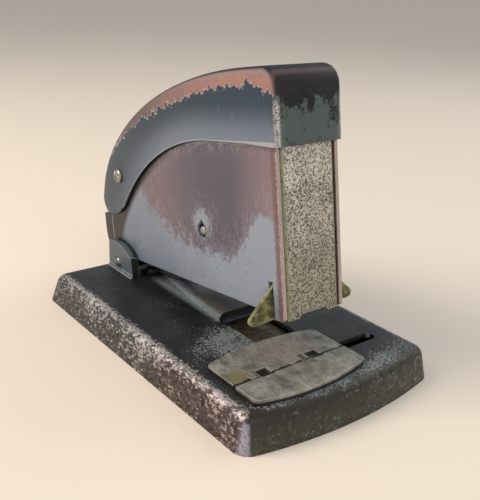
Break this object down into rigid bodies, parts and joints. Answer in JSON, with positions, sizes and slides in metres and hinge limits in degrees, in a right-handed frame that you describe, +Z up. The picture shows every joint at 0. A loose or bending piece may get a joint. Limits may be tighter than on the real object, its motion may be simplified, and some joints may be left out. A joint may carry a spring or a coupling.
{
  "type": "desk stapler",
  "caption": "Desk stapler with a tall quadrant head of pressed steel, press-down cap, lifting staple magazine with finger wings, and a sliding two-die anvil on a flared base.",
  "frame": {"origin": "middle of the base in length and width, on the surface that the base stands on", "axes": "+X from the hinge toward the nose, +Y to the left seen from behind the hinge, +Z up"},
  "size_m": [0.0949, 0.056, 0.0703],
  "materials": {
    "base_enamel": "black stoving enamel over pressed steel, satin, worn through at the edges",
    "base_sheet": "black painted sheet steel",
    "bracket_enamel": "grey-blue enamel over sheet steel, satin",
    "rivet_steel": "plain steel, dulled",
    "pin_steel": "nickel-plated steel, worn",
    "spacer_steel": "plain steel, dulled",
    "spring_steel": "hardened spring strip",
    "guide_steel": "yellow-passivated sheet steel, dulled",
    "anvil_nickel": "dull nickel plate, worn at the edges",
    "magazine_steel": "nickel-plated sheet steel, dulled",
    "nose_nickel": "nickel plate with pitting corrosion",
    "wing_steel": "yellow-passivated sheet steel, dulled",
    "staple_wire": "galvanised wire",
    "shell_enamel": "light blue-grey enamel over pressed steel, worn through in a patch",
    "bracket_steel": "plain sheet steel, dulled",
    "brass_steel": "yellow-passivated steel, polished",
    "cap_enamel": "blue-grey enamel over coppery primer, worn through along the top",
    "blade_steel": "hardened steel strip, ground"
  },
  "bodies": {
    "base": {"base_shell": "base_enamel", "bottom_plate": "base_sheet", "hinge_bracket": "bracket_enamel", "bracket_rivets": "rivet_steel", "hinge_pin": "pin_steel", "hinge_spacers": "spacer_steel", "head_lift_spring": "spring_steel", "anvil_guide": "guide_steel"},
    "anvil": {"anvil": "anvil_nickel", "anvil_keeper": "guide_steel", "keeper_rivets": "rivet_steel"},
    "magazine": {"magazine_channel": "magazine_steel", "nose_plate": "nose_nickel", "finger_wings": "wing_steel", "staple_stick": "staple_wire", "follower_rod": "pin_steel", "follower_spring": "spring_steel"},
    "follower": {"follower": "magazine_steel"},
    "head": {"head_shell": "shell_enamel", "spring_bracket": "bracket_steel", "spring_pin": "brass_steel", "driver_guide": "bracket_steel", "pivot_tube": "pin_steel", "cap_screw": "brass_steel", "cap_nut": "pin_steel", "cap_return_spring": "spring_steel"},
    "cap": {"cap": "cap_enamel", "driver_hanger": "bracket_steel"},
    "driver": {"driver_blade": "blade_steel"}
  },
  "joints": [
    {"name": "magazine_hinge", "type": "hinge", "parent": "base", "child": "magazine", "pos_m": [-0.03585, 0, 0.0103], "axis": [0, 1, 0], "range_deg": [0, 7.4], "stiffness_Nm_per_rad": 0.16, "springref_deg": -34.38, "deforming": ["head_lift_spring"]},
    {"name": "shell_opening", "type": "hinge", "parent": "magazine", "child": "head", "pos_m": [-0.03585, 0, 0.0103], "axis": [0, 1, 0], "range_deg": [-28, 0]},
    {"name": "cap_press", "type": "hinge", "parent": "head", "child": "cap", "pos_m": [-0.03766, 0, 0.03443], "axis": [0, 1, 0], "range_deg": [0, 8.3], "stiffness_Nm_per_rad": 0.06, "springref_deg": -51.57, "deforming": ["cap_return_spring"]},
    {"name": "driver_slide", "type": "slide", "parent": "head", "child": "driver", "axis": [0.165, 0, -0.9863], "range_m": [0, 0.0095]},
    {"name": "follower_slide", "type": "slide", "parent": "magazine", "child": "follower", "axis": [0.9931, 0, 0.1175], "range_m": [-0.018, 0], "stiffness_N_per_m": 20, "springref_m": 0.03, "deforming": ["follower_spring"]},
    {"name": "anvil_slide", "type": "slide", "parent": "base", "child": "anvil", "axis": [0, 1, 0], "range_m": [0, 0.014]}
  ],
  "couplings": [
    {"joint": "driver_slide", "follows": "cap_press", "m_per_rad": 0.0637}
  ]
}
